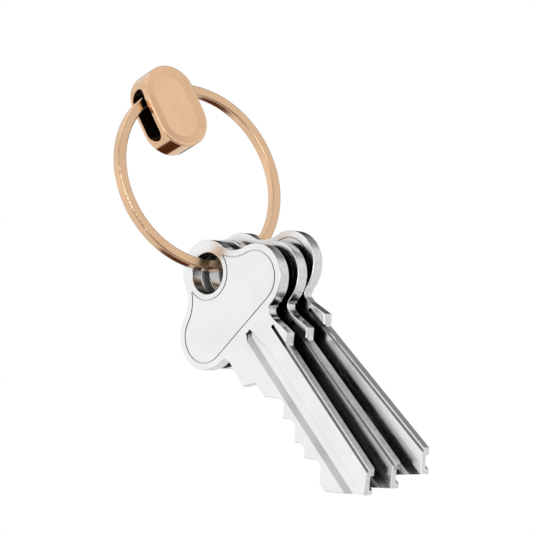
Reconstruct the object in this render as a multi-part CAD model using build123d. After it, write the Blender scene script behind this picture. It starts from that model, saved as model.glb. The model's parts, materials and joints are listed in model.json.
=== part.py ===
from build123d import *
import math
import os

# Key ring: a springy loop of square wire, a pill-shaped slider that covers the cut in
# the loop, and three keys that hang from the lowest stretch of the wire.
# Millimetres. The origin is the centre of the loop, +Z is up, and the key blades hang
# straight down. The loop leans: its top comes forward, towards -Y.

# ---- Loop of wire ----
loop_outer_d = 35.0
wire_radial = 1.8
wire_axial = 1.85
wire_edge_r = 0.35
loop_tilt = 26.1
split_gap = 0.12
split_skew = 35.0

# ---- Slider ----
slider_length = 15.5
slider_width = 10.7
slider_face_wall = 0.85
slider_slot_width = 3.7
slider_outer_wall = 2.4
slider_inner_wall = 3.2
wire_end_clearance = 1.0
slider_angle = 12.6
slider_edge_r = 0.3
slider_rim = 0.5
dish_slope = 1.5
dish_depth = 0.4

# ---- Keys: place on the wire ----
key_names = ["key_front", "key_middle", "key_back"]
key_pitch = 13.5
first_key_angle = -12.2
key_yaw = 13.0
key_leans = [0.0, 2.0, 5.0]
hang_clearances = [0.5, 0.5, 0.9]

# ---- Keys: head ----
key_thickness = 2.4
key_hole_d = 7.3
top_lobe_r = 5.6
top_lobe_rise = 0.5
side_lobe_r = 5.9
side_lobe_x = 7.6
side_lobe_drop = 8.0
waist_r = 6.0
neck_half_width = 6.15
neck_blend_r = 1.4
neck_straight = 0.9
panel_margin = 1.1
panel_line_width = 0.22
panel_line_depth = 0.12
hole_collar = 0.95

# ---- Keys: shoulder stops and blade ----
back_stop_drop = 20.1
cut_stop_drop = 20.6
stop_step = 1.4
stop_blend_r = 0.6
back_stop_reach = 1.55
cut_stop_reach = 0.25
blade_back_x = 5.5
blade_width = 9.3
blade_lengths = [51.1, 51.7, 53.3]
tip_inset = 3.2
tip_back_rise = 2.9
tip_cut_rise = 5.6
blade_thickness = 1.95
front_ward = (-0.7, 2.2)
front_ward_depth = 0.7
front_ward_bevel = 0.88
ward_mouth = (0.0, 1.1)
ward_start = 14.1
ward_flares = (1.4, 5.4)
edge_step_width = 0.5
edge_step_depth = 0.5
edge_step_start = 17.0
edge_step_overrun = 0.2
back_ward = (2.9, 4.6)
back_ward_depth = 0.85
key_edge_r = 0.14
hole_edge_r = 0.18
first_cut = 28.2
cut_pitch = 4.3
cut_flat = 1.2
cut_root_r = 1.2
cut_depths = [
    [2.5, 2.2, 1.2, 2.1],
    [1.4, 2.6, 1.9, 0.9],
    [2.2, 1.0, 2.5, 1.7],
]

# ---- Derived values ----
tilt = math.radians(loop_tilt)
yaw = math.radians(key_yaw)
wire_centre_r = (loop_outer_d - wire_radial) / 2
slider_depth = slider_slot_width + 2 * slider_face_wall
slider_slot_length = slider_length - slider_outer_wall - slider_inner_wall
wire_reach = math.hypot(wire_radial, wire_axial) / 2 - wire_edge_r * (math.sqrt(2) - 1)
blade_cut_x = blade_back_x - blade_width
loop_plane = Plane(
    origin=(0, 0, 0),
    x_dir=(1, 0, 0),
    z_dir=(0, -math.cos(tilt), -math.sin(tilt)),
)


def make_loop():
    """One turn of rounded square wire with a slanted cut hidden under the slider."""
    section = Plane.XZ * Pos(wire_centre_r, 0) * RectangleRounded(
        wire_radial, wire_axial, wire_edge_r
    )
    ring = revolve(section, Axis.Z)
    cutter = Box(3 * wire_radial, split_gap, 3 * wire_axial)
    at_slider = Rot(0, 0, 90 + slider_angle) * Pos(wire_centre_r, 0, 0)
    return loop_plane * (ring - at_slider * Rot(split_skew, 0, 0) * cutter)


def pill(length, width):
    """Stadium outline with its long side along local Y."""
    return Rot(0, 0, 90) * SlotOverall(length, width)


def make_slider():
    """Pill with two dished faces and a through slot for the wire."""
    body = extrude(pill(slider_length, slider_width), slider_depth / 2, both=True)
    faces = body.faces().sort_by(Axis.Z)
    body = fillet(faces[0].edges() + faces[-1].edges(), slider_edge_r)
    floor_inset = slider_rim + dish_slope
    for side in (1, -1):
        face = Plane(origin=(0, 0, side * slider_depth / 2), z_dir=(0, 0, side))
        mouth = pill(slider_length - 2 * slider_rim, slider_width - 2 * slider_rim)
        floor = pill(slider_length - 2 * floor_inset, slider_width - 2 * floor_inset)
        body -= loft([face * mouth, face.offset(-dish_depth) * floor])
    slot_top = slider_length / 2 - slider_outer_wall
    slot = Plane.YZ * SlotOverall(slider_slot_length, slider_slot_width)
    slot = Pos(0, slot_top - slider_slot_length / 2, 0) * slot
    body -= extrude(slot, slider_width, both=True)
    wire_y = slot_top - wire_end_clearance - wire_radial / 2
    return loop_plane * Rot(0, 0, slider_angle) * Pos(0, wire_centre_r - wire_y, 0) * body


def head_outline():
    """Three round lobes, with a waist arc that is tangent to each pair of lobes."""
    top = Vector(0, top_lobe_rise)
    side = Vector(side_lobe_x, -side_lobe_drop)
    span = (side - top).length
    to_top = top_lobe_r + waist_r
    to_side = side_lobe_r + waist_r
    along = (span ** 2 + to_top ** 2 - to_side ** 2) / (2 * span)
    across = math.sqrt(to_top ** 2 - along ** 2)
    direction = (side - top).normalized()
    waist = top + direction * along + Vector(-direction.Y, direction.X) * across
    foot = -side_lobe_drop - side_lobe_r
    half = make_face(
        Polyline(
            (0, top.Y),
            (waist.X, waist.Y),
            (side.X, side.Y),
            (side.X, foot),
            (0, foot),
            close=True,
        )
    )
    half += Pos(side.X, side.Y) * Circle(side_lobe_r)
    half += Pos(0, top.Y) * Circle(top_lobe_r)
    half -= Pos(waist.X, waist.Y) * Circle(waist_r)
    return half + mirror(half, about=Plane.YZ)


def blade_outline(blade_end):
    """Neck, two shoulder stops and an uncut blade that ends in a point at blade_end."""
    neck_end = -side_lobe_drop - side_lobe_r - neck_blend_r - neck_straight
    step_y = (-cut_stop_drop - stop_step, -back_stop_drop - stop_step)
    outline = make_face(
        Polyline(
            (-neck_half_width, -side_lobe_drop),
            (-neck_half_width, neck_end),
            (-neck_half_width - cut_stop_reach, -cut_stop_drop),
            (blade_cut_x, step_y[0]),
            (blade_cut_x, -blade_end + tip_cut_rise),
            (blade_back_x - tip_inset, -blade_end),
            (blade_back_x, -blade_end + tip_back_rise),
            (blade_back_x, step_y[1]),
            (blade_back_x + back_stop_reach, -back_stop_drop),
            (neck_half_width, neck_end),
            (neck_half_width, -side_lobe_drop),
            close=True,
        )
    )
    steps = [v for v in outline.vertices() if -v.Y in (-step_y[0], -step_y[1])]
    return fillet(steps, stop_blend_r)


def key_outline(blade_end):
    """Head and uncut blade, with a blend where the neck leaves each side lobe."""
    outline = head_outline() + blade_outline(blade_end)
    lobe_foot = -side_lobe_drop - side_lobe_r
    corners = [
        v
        for v in outline.vertices()
        if math.isclose(abs(v.X), neck_half_width, abs_tol=0.01)
        and math.isclose(v.Y, lobe_foot, abs_tol=0.01)
    ]
    return fillet(corners, neck_blend_r)


def notch(index, depth):
    """One bitting cut: a rounded root with 45 degree flanks, open at the blade's edge."""
    middle = -first_cut - index * cut_pitch
    root_x = blade_cut_x + depth
    reach = depth + 1
    cut = make_face(
        Polyline(
            (root_x, middle + cut_flat / 2),
            (root_x - reach, middle + cut_flat / 2 + reach),
            (root_x - reach, middle - cut_flat / 2 - reach),
            (root_x, middle - cut_flat / 2),
            close=True,
        )
    )
    return fillet(cut.vertices().sort_by(Axis.X)[-2:], cut_root_r)


def panel_line():
    """Thin groove line that frames the panel on the head's front face."""
    panel = offset(head_outline(), -panel_margin)
    width = 4 * (side_lobe_x + side_lobe_r)
    panel -= Circle(key_hole_d / 2 + hole_collar)
    panel -= Pos(0, width / 2) * Rectangle(width, width)
    inner = offset(panel, -panel_line_width)
    return panel - inner


def front_ward_cut(blade_end):
    """Long groove of the front face: it flares from the head and slopes on one side."""
    low_x, high_x = front_ward
    end = -blade_end - 1
    floor = make_face(
        Polyline(
            (ward_mouth[0], -ward_start),
            (ward_mouth[1], -ward_start),
            (high_x, -ward_start - ward_flares[1]),
            (high_x, end),
            (low_x, end),
            (low_x, -ward_start - ward_flares[0]),
            close=True,
        )
    )
    groove = extrude(Pos(0, 0, key_thickness / 2 - front_ward_depth) * floor, key_thickness)
    slope = make_face(
        Polyline(
            (low_x, key_thickness / 2),
            (low_x, key_thickness / 2 - front_ward_depth),
            (low_x + front_ward_bevel, key_thickness / 2 - front_ward_depth),
            close=True,
        )
    )
    wedge = extrude(Plane.XZ * slope, 2 * blade_end)
    return groove - wedge


def make_key(index):
    """Flat key: head with its hole, neck, stops, warded blade and its own cuts."""
    blade_end = blade_lengths[index]
    outline = key_outline(blade_end)
    for place, depth in enumerate(cut_depths[index]):
        outline -= notch(place, depth)
    key = extrude(outline, key_thickness / 2, both=True)
    flats = key.faces().sort_by(Axis.Z)
    key = fillet(flats[0].edges() + flats[-1].edges(), key_edge_r)
    key -= extrude(Circle(key_hole_d / 2), key_thickness, both=True)
    key = fillet(key.edges().filter_by(is_hole_edge), hole_edge_r)
    key -= front_ward_cut(blade_end)
    thinning = key_thickness - blade_thickness
    back = -key_thickness / 2 + thinning
    length = 2 * blade_end
    key -= Pos(0, -ward_start - length / 2, back - length / 2) * Box(length, length, length)
    low_x, high_x = back_ward
    ward = Box(high_x - low_x, length, 2 * back_ward_depth)
    key -= Pos((low_x + high_x) / 2, -ward_start - length / 2, back) * ward
    step_x = blade_back_x + (edge_step_overrun - edge_step_width) / 2
    step = Box(edge_step_width + edge_step_overrun, length, 2 * edge_step_depth)
    key -= Pos(step_x, -edge_step_start - length / 2, key_thickness / 2) * step
    line = extrude(panel_line(), panel_line_depth, both=True)
    return key - Pos(0, 0, key_thickness / 2) * line


def is_hole_edge(edge):
    """True for the two round rims of a key's hole."""
    if edge.geom_type != GeomType.CIRCLE:
        return False
    off_centre = math.hypot(edge.arc_center.X, edge.arc_center.Y)
    return off_centre < key_edge_r and math.isclose(edge.radius, key_hole_d / 2)


def key_place(index):
    """Plane of a key's hole: local X across the key, local Z out of its front face."""
    turn = math.radians(first_key_angle + index * key_pitch)
    hang_drop = key_hole_d / 2 - wire_reach - hang_clearances[index]
    on_wire = Vector(wire_centre_r * math.sin(turn), -wire_centre_r * math.cos(turn), 0)
    pivot = loop_plane.from_local_coords(on_wire)
    hanging = Plane(
        origin=pivot,
        x_dir=(math.sin(yaw), -math.cos(yaw), 0),
        z_dir=(-math.cos(yaw), -math.sin(yaw), 0),
    )
    return hanging * Rot(0, 0, key_leans[index]) * Pos(0, -hang_drop, 0)


os.makedirs("parts", exist_ok=True)
export_step(make_loop(), "parts/ring_wire.step")
export_step(make_slider(), "parts/slider.step")
for index, name in enumerate(key_names):
    export_step(key_place(index) * make_key(index), f"parts/{name}.step")
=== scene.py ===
import json
import math

import bpy
from mathutils import Matrix, Vector


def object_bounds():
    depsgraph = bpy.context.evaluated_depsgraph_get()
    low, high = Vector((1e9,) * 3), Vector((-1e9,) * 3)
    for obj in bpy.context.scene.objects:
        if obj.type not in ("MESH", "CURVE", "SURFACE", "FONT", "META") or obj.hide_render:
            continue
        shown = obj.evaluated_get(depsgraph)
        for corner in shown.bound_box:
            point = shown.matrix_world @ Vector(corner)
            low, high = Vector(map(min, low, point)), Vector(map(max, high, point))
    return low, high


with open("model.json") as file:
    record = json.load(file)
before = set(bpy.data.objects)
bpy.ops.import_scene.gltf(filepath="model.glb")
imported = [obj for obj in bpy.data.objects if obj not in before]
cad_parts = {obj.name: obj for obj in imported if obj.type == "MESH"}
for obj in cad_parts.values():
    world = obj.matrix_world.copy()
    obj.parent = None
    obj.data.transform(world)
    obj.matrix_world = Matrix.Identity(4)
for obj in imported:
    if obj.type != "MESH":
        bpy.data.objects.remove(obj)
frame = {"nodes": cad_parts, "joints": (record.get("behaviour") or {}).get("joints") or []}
cad_low, cad_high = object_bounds()

# Looks for a key ring: satin rose-gold wire, rose-gold slider and three nickel keys,
# in a white studio with a few dark flags. Metres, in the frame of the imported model.


def grey(level):
    return (level, level, level, 1)


# ---- Camera: front left, from below, rolled ----
CAMERA_AZIMUTH = -135.8
CAMERA_ELEVATION = -28.7
CAMERA_ROLL = -33.7
CAMERA_DISTANCE = 0.3226
CAMERA_LENS = 121.6
CAMERA_CLIP = 0.01
SENSOR_WIDTH = 36
CAMERA_TARGET = Vector((0.00768, 0.00587, -0.01753))

# ---- Studio light by direction: azimuth, elevation, half-angle, softness, colour ----
# A later patch covers an earlier one where they meet.
BASE_LIGHT = grey(0.86)
WHITE = grey(1)
PATCHES = (
    (-130, 30, 13, 8, grey(0.52)),
    (-18, 34, 18, 10, grey(0.30)),
    (25, 27, 24, 8, grey(0.04)),
    (-150, -72, 26, 16, (0.24, 0.20, 0.17, 1)),
    (85, -11, 16, 2, (0.09, 0.032, 0.010, 1)),
    (-50, -11, 14, 12, grey(1.02)),
    (-116, -29, 11, 6, grey(4.2)),
    (162, 30, 24, 14, grey(1.04)),
)

# ---- Floor and softbox ----
FLOOR_DROP = 0.14
FLOOR_SIZE = 12.0
FLOOR_COLOUR = (0.90, 0.90, 0.89, 1)
FLOOR_ROUGHNESS = 0.8
SOFTBOX_PLACE = Vector((-0.25, -0.45, 0.55))
SOFTBOX_SIZE = 0.45
SOFTBOX_POWER = 0.6

# ---- Metals: base colours, and how far a nearby wall casts the painted shade that darkens a surface ----
WIRE_COLOUR = (0.785, 0.523, 0.328)
SLIDER_COLOUR = (0.825, 0.535, 0.33)
NICKEL_COLOUR = (0.84, 0.845, 0.85)
WIRE_CREVICE = 0.002
SLIDER_CREVICE = 0.009
KEY_CREVICE = 0.0034
CREVICE_SAMPLES = 8

# ---- Noise: scale in cycles per metre, then detail; the wire's brushing runs by angle ----
WIRE_BRUSHING = (130.0, 4.0)
WIRE_BRUSHING_ACROSS = 7.0
WIRE_CLOUD = (260.0, 2.0)
WIRE_FINE = (6000.0, 2.0)
SLIDER_FINE = (7000.0, 3.0)
SLIDER_CLOUD = (300.0, 3.0)
KEY_DRAWING = (240.0, 3.0)
KEY_DRAWING_ACROSS = 30.0
KEY_SCRATCHES = (5200.0, 1.0)
KEY_SCRATCHES_ALONG = 0.12
KEY_SCRATCHES_THROUGH = 0.3
KEY_PITS = (1500.0, 5.0)
KEY_CLOUD = (170.0, 4.0)

# ---- Ramps: from low, from high, to low, to high ----
FLAT_FACE = (0.35, 0.65, 0.0, 1.0)
WIRE_SHADE = (0.6, 1.4, 0.95, 1.05)
# painted shade: the wire's flat faces darker than its side walls
WIRE_FACE_PAINTED_SHADE = (0, 1, 1.05, 0.89)
# painted shade: the wire darkened where nearby parts close it in
WIRE_PAINTED_SHADE = (0.35, 0.85, 0.30, 1.0)
WIRE_ROUGHNESS = (0.35, 0.65, 0.20, 0.27)
WIRE_SIDE_POLISH = (0, 1, -0.04, 0.0)
SLIDER_SHADE = (0.35, 0.65, 0.97, 1.03)
# painted shade: the slider's slot and hollows darkened
SLIDER_PAINTED_SHADE = (0.28, 0.72, 0.08, 1.0)
SLIDER_ROUGHNESS = (0, 1, 0.10, 0.30)
SLIDER_FINE_ROUGHNESS = (0.3, 0.7, -0.02, 0.04)
SLIDER_BUMP = (0, 1, 0.04, 0.22)
KEY_SCRATCH_MASK = (0.66, 0.74, 0.0, 1.0)
KEY_SHADE = (0.3, 0.7, 0.94, 1.03)
KEY_SIDE_SHADE = (0.35, 0.65, 0.82, 0.98)
# painted shade: the keys darkened in the gaps between them and in their grooves
KEY_PAINTED_SHADE = (0.36, 0.76, 0.05, 1.0)
KEY_FACE_ROUGHNESS = (0.35, 0.65, 0.17, 0.24)
KEY_SIDE_ROUGHNESS = (0.35, 0.65, 0.15, 0.22)

# ---- Relief: bump strength, then depth ----
WIRE_BRUSHED_BUMP = (0.08, 0.00002)
WIRE_FINE_BUMP = (0.06, 0.00001)
SLIDER_BUMP_DEPTH = 0.00002
KEY_BUMP = (0.22, 0.00003)
KEY_SCRATCH_DEPTH = 0.4
KEY_PIT_DEPTH = 0.7


def direction(azimuth, elevation):
    """Unit vector towards an azimuth and elevation in degrees."""
    a = math.radians(azimuth)
    e = math.radians(elevation)
    return Vector((math.cos(e) * math.cos(a), math.cos(e) * math.sin(a), math.sin(e)))


def joint_axis(child):
    """Unit vector along the axis of a body's joint."""
    joint = next(joint for joint in frame["joints"] if joint["child"] == child)
    return Vector(joint["axis"]).normalized()


UP = Vector((0, 0, 1))
LOOP_AXIS = joint_axis("slider")
LOOP_SIDE = Vector((1, 0, 0))
LOOP_UP = LOOP_SIDE.cross(LOOP_AXIS).normalized()
KEY_AXIS = joint_axis("key_front")
KEY_SIDE = KEY_AXIS.cross(UP).normalized()


class Nodes:
    """Short helpers that add nodes to one tree and return the output socket."""

    def __init__(self, tree):
        self.tree = tree

    def add(self, kind, inputs=(), output=0, **settings):
        node = self.tree.nodes.new(kind)
        for name, value in settings.items():
            setattr(node, name, value)
        for name, value in dict(inputs).items():
            if isinstance(value, bpy.types.NodeSocket):
                self.tree.links.new(value, node.inputs[name])
            else:
                node.inputs[name].default_value = value
        return node.outputs[output]

    def math(self, operation, a, b=0.0):
        return self.add("ShaderNodeMath", {0: a, 1: b}, operation=operation)

    def sum(self, a, b):
        return self.math("ADD", a, b)

    def times(self, a, b):
        return self.math("MULTIPLY", a, b)

    def dot(self, vector, axis):
        inputs = {0: vector, 1: axis}
        return self.add("ShaderNodeVectorMath", inputs, "Value", operation="DOT_PRODUCT")

    def combine(self, x, y, z):
        return self.add("ShaderNodeCombineXYZ", {0: x, 1: y, 2: z})

    def noise(self, vector, scale, detail):
        return self.add("ShaderNodeTexNoise", {"Vector": vector, "Scale": scale, "Detail": detail})

    def ramp(self, value, low, high, to_low, to_high, kind="LINEAR"):
        inputs = {0: value, 1: low, 2: high, 3: to_low, 4: to_high}
        return self.add("ShaderNodeMapRange", inputs, interpolation_type=kind)

    def mix(self, factor, a, b):
        """Mix two numbers."""
        return self.add("ShaderNodeMix", {0: factor, 2: a, 3: b})

    def blend(self, factor, a, b):
        """Mix two colours."""
        return self.add("ShaderNodeMix", {0: factor, 6: a, 7: b}, 2, data_type="RGBA")

    def bump(self, height, strength, distance, normal=None):
        inputs = {"Height": height, "Strength": strength, "Distance": distance}
        if normal is not None:
            inputs["Normal"] = normal
        return self.add("ShaderNodeBump", inputs)

    def tint(self, colour, factor):
        """The colour, scaled by a factor socket."""
        inputs = {0: colour, "Scale": factor}
        return self.add("ShaderNodeVectorMath", inputs, operation="SCALE")


def make_camera():
    toward = direction(CAMERA_AZIMUTH, CAMERA_ELEVATION)
    data = bpy.data.cameras.new("camera")
    data.lens = CAMERA_LENS
    data.sensor_width = SENSOR_WIDTH
    data.clip_start = CAMERA_CLIP
    camera = bpy.data.objects.new("camera", data)
    bpy.context.collection.objects.link(camera)
    level = toward.to_track_quat("Z", "Y").to_matrix().to_4x4()
    turn = Matrix.Rotation(math.radians(CAMERA_ROLL), 4, "Z")
    place = Matrix.Translation(CAMERA_TARGET + toward * CAMERA_DISTANCE)
    camera.matrix_world = place @ level @ turn
    bpy.context.scene.camera = camera


def make_world():
    """Plain white behind the object; a bright tent with dark flags in its reflections."""
    world = bpy.data.worlds.new("studio")
    world.use_nodes = True
    nodes = Nodes(world.node_tree)
    toward = nodes.add("ShaderNodeTexCoord", output="Generated")
    light = BASE_LIGHT
    for azimuth, elevation, half_angle, softness, colour in PATCHES:
        edge_out = math.cos(math.radians(half_angle + softness))
        edge_in = math.cos(math.radians(half_angle - softness))
        facing = nodes.dot(toward, direction(azimuth, elevation))
        inside = nodes.ramp(facing, edge_out, edge_in, 0.0, 1.0, "SMOOTHSTEP")
        light = nodes.blend(inside, light, colour)
    seen = nodes.add("ShaderNodeLightPath", output="Is Camera Ray")
    background = world.node_tree.nodes["Background"]
    background.inputs["Strength"].default_value = 1.0
    world.node_tree.links.new(nodes.blend(seen, light, WHITE), background.inputs["Color"])
    bpy.context.scene.world = world


def make_floor():
    """A plain pale floor that the metals don't mirror."""
    material = bpy.data.materials.new("floor")
    material.use_nodes = True
    shader = material.node_tree.nodes["Principled BSDF"]
    shader.inputs["Base Color"].default_value = FLOOR_COLOUR
    shader.inputs["Roughness"].default_value = FLOOR_ROUGHNESS
    half = FLOOR_SIZE / 2
    height = cad_low[2] - FLOOR_DROP
    corners = ((-half, -half, height), (half, -half, height), (half, half, height), (-half, half, height))
    mesh = bpy.data.meshes.new("floor")
    mesh.from_pydata(corners, [], [(0, 1, 2, 3)])
    mesh.materials.append(material)
    floor = bpy.data.objects.new("floor", mesh)
    bpy.context.collection.objects.link(floor)
    floor.visible_glossy = False


def make_softbox():
    data = bpy.data.lights.new("softbox", "AREA")
    data.size = SOFTBOX_SIZE
    data.energy = SOFTBOX_POWER
    light = bpy.data.objects.new("softbox", data)
    light.location = SOFTBOX_PLACE
    light.rotation_euler = SOFTBOX_PLACE.to_track_quat("Z", "Y").to_euler()
    light.visible_camera = False
    bpy.context.collection.objects.link(light)


def metal(name, flat_axis, crevice, make_detail):
    """A metal whose flat faces, those facing flat_axis, differ from its side walls."""
    material = bpy.data.materials.new(name)
    material.use_nodes = True
    tree = material.node_tree
    nodes = Nodes(tree)
    shader = tree.nodes["Principled BSDF"]
    shader.inputs["Metallic"].default_value = 1.0
    place = nodes.add("ShaderNodeTexCoord", output="Object")
    outward = nodes.add("ShaderNodeTexCoord", output="Normal")
    facing = nodes.math("ABSOLUTE", nodes.dot(outward, flat_axis))
    flat = nodes.ramp(facing, *FLAT_FACE, "SMOOTHSTEP")
    # Ambient occlusion drives a painted shade: base colour darkened near walls and neighbouring parts.
    occlusion = {"Distance": crevice}
    open_air = nodes.add("ShaderNodeAmbientOcclusion", occlusion, "AO", samples=CREVICE_SAMPLES)
    colour, roughness, normal = make_detail(nodes, place, flat, open_air)
    tree.links.new(colour, shader.inputs["Base Color"])
    tree.links.new(roughness, shader.inputs["Roughness"])
    tree.links.new(normal, shader.inputs["Normal"])
    return material


def wire_detail(nodes, place, flat, open_air):
    """Satin wire: brushing that follows the loop, under a fine grain."""
    side = nodes.dot(place, LOOP_SIDE)
    up = nodes.dot(place, LOOP_UP)
    axial = nodes.dot(place, LOOP_AXIS)
    radius = nodes.math("SQRT", nodes.sum(nodes.times(side, side), nodes.times(up, up)))
    around_x = nodes.math("DIVIDE", side, radius)
    around_y = nodes.math("DIVIDE", up, radius)
    across = nodes.times(nodes.sum(radius, axial), WIRE_BRUSHING_ACROSS)
    brushing = nodes.noise(nodes.combine(around_x, around_y, across), *WIRE_BRUSHING)
    cloud = nodes.noise(place, *WIRE_CLOUD)
    fine = nodes.noise(place, *WIRE_FINE)
    shade = nodes.ramp(nodes.sum(brushing, cloud), *WIRE_SHADE)
    # Painted shade: the flat faces are coloured darker than the side walls.
    shade = nodes.times(shade, nodes.ramp(flat, *WIRE_FACE_PAINTED_SHADE))
    # Painted shade: colour darkened near the slider and keys, from ambient occlusion.
    painted_shade = nodes.ramp(open_air, *WIRE_PAINTED_SHADE)
    colour = nodes.tint(WIRE_COLOUR, nodes.times(shade, painted_shade))
    satin = nodes.ramp(brushing, *WIRE_ROUGHNESS)
    roughness = nodes.sum(satin, nodes.ramp(flat, *WIRE_SIDE_POLISH))
    brushed = nodes.bump(brushing, *WIRE_BRUSHED_BUMP)
    return colour, roughness, nodes.bump(fine, *WIRE_FINE_BUMP, brushed)


def slider_detail(nodes, place, flat, open_air):
    """Fine matt faces and bright, nearly polished side walls."""
    fine = nodes.noise(place, *SLIDER_FINE)
    cloud = nodes.noise(place, *SLIDER_CLOUD)
    shade = nodes.ramp(cloud, *SLIDER_SHADE)
    # Painted shade: the slot's inside and hollows darkened, from ambient occlusion.
    painted_shade = nodes.ramp(open_air, *SLIDER_PAINTED_SHADE)
    colour = nodes.tint(SLIDER_COLOUR, nodes.times(shade, painted_shade))
    matt = nodes.ramp(flat, *SLIDER_ROUGHNESS)
    roughness = nodes.sum(matt, nodes.ramp(fine, *SLIDER_FINE_ROUGHNESS))
    return colour, roughness, nodes.bump(fine, nodes.ramp(flat, *SLIDER_BUMP), SLIDER_BUMP_DEPTH)


def nickel_detail(nodes, place, flat, open_air):
    """Bright nickel: faintly drawn faces with handling marks, and pitted stamped sides."""
    side = nodes.dot(place, KEY_SIDE)
    up = nodes.dot(place, UP)
    through = nodes.dot(place, KEY_AXIS)
    across = nodes.times(side, KEY_DRAWING_ACROSS)
    drawing = nodes.noise(nodes.combine(across, up, through), *KEY_DRAWING)
    scratch_up = nodes.times(up, KEY_SCRATCHES_ALONG)
    scratch_through = nodes.times(through, KEY_SCRATCHES_THROUGH)
    scratch_noise = nodes.noise(nodes.combine(side, scratch_up, scratch_through), *KEY_SCRATCHES)
    scratches = nodes.ramp(scratch_noise, *KEY_SCRATCH_MASK)
    pits = nodes.noise(place, *KEY_PITS)
    cloud = nodes.noise(place, *KEY_CLOUD)
    shade = nodes.ramp(cloud, *KEY_SHADE)
    dulled = nodes.mix(flat, nodes.ramp(pits, *KEY_SIDE_SHADE), 1.0)
    # Painted shade: the gaps between the keys and their grooves darkened, from ambient occlusion.
    painted_shade = nodes.ramp(open_air, *KEY_PAINTED_SHADE)
    colour = nodes.tint(NICKEL_COLOUR, nodes.times(nodes.times(shade, dulled), painted_shade))
    face_roughness = nodes.ramp(cloud, *KEY_FACE_ROUGHNESS)
    roughness = nodes.mix(flat, nodes.ramp(pits, *KEY_SIDE_ROUGHNESS), face_roughness)
    marks = nodes.math("SUBTRACT", drawing, nodes.times(scratches, KEY_SCRATCH_DEPTH))
    relief = nodes.mix(flat, nodes.times(pits, KEY_PIT_DEPTH), marks)
    return colour, roughness, nodes.bump(relief, *KEY_BUMP)


def finish_node(name, material):
    for material_slot in frame["nodes"][name].material_slots:
        material_slot.material = material


make_camera()
make_world()
make_floor()
make_softbox()
bpy.context.scene.view_settings.view_transform = "Standard"

finish_node("ring_wire", metal("satin_rose_gold_wire", LOOP_AXIS, WIRE_CREVICE, wire_detail))
finish_node("slider", metal("rose_gold_slider", LOOP_AXIS, SLIDER_CREVICE, slider_detail))
nickel = metal("nickel_key", KEY_AXIS, KEY_CREVICE, nickel_detail)
for key in ("key_front", "key_middle", "key_back"):
    finish_node(key, nickel)
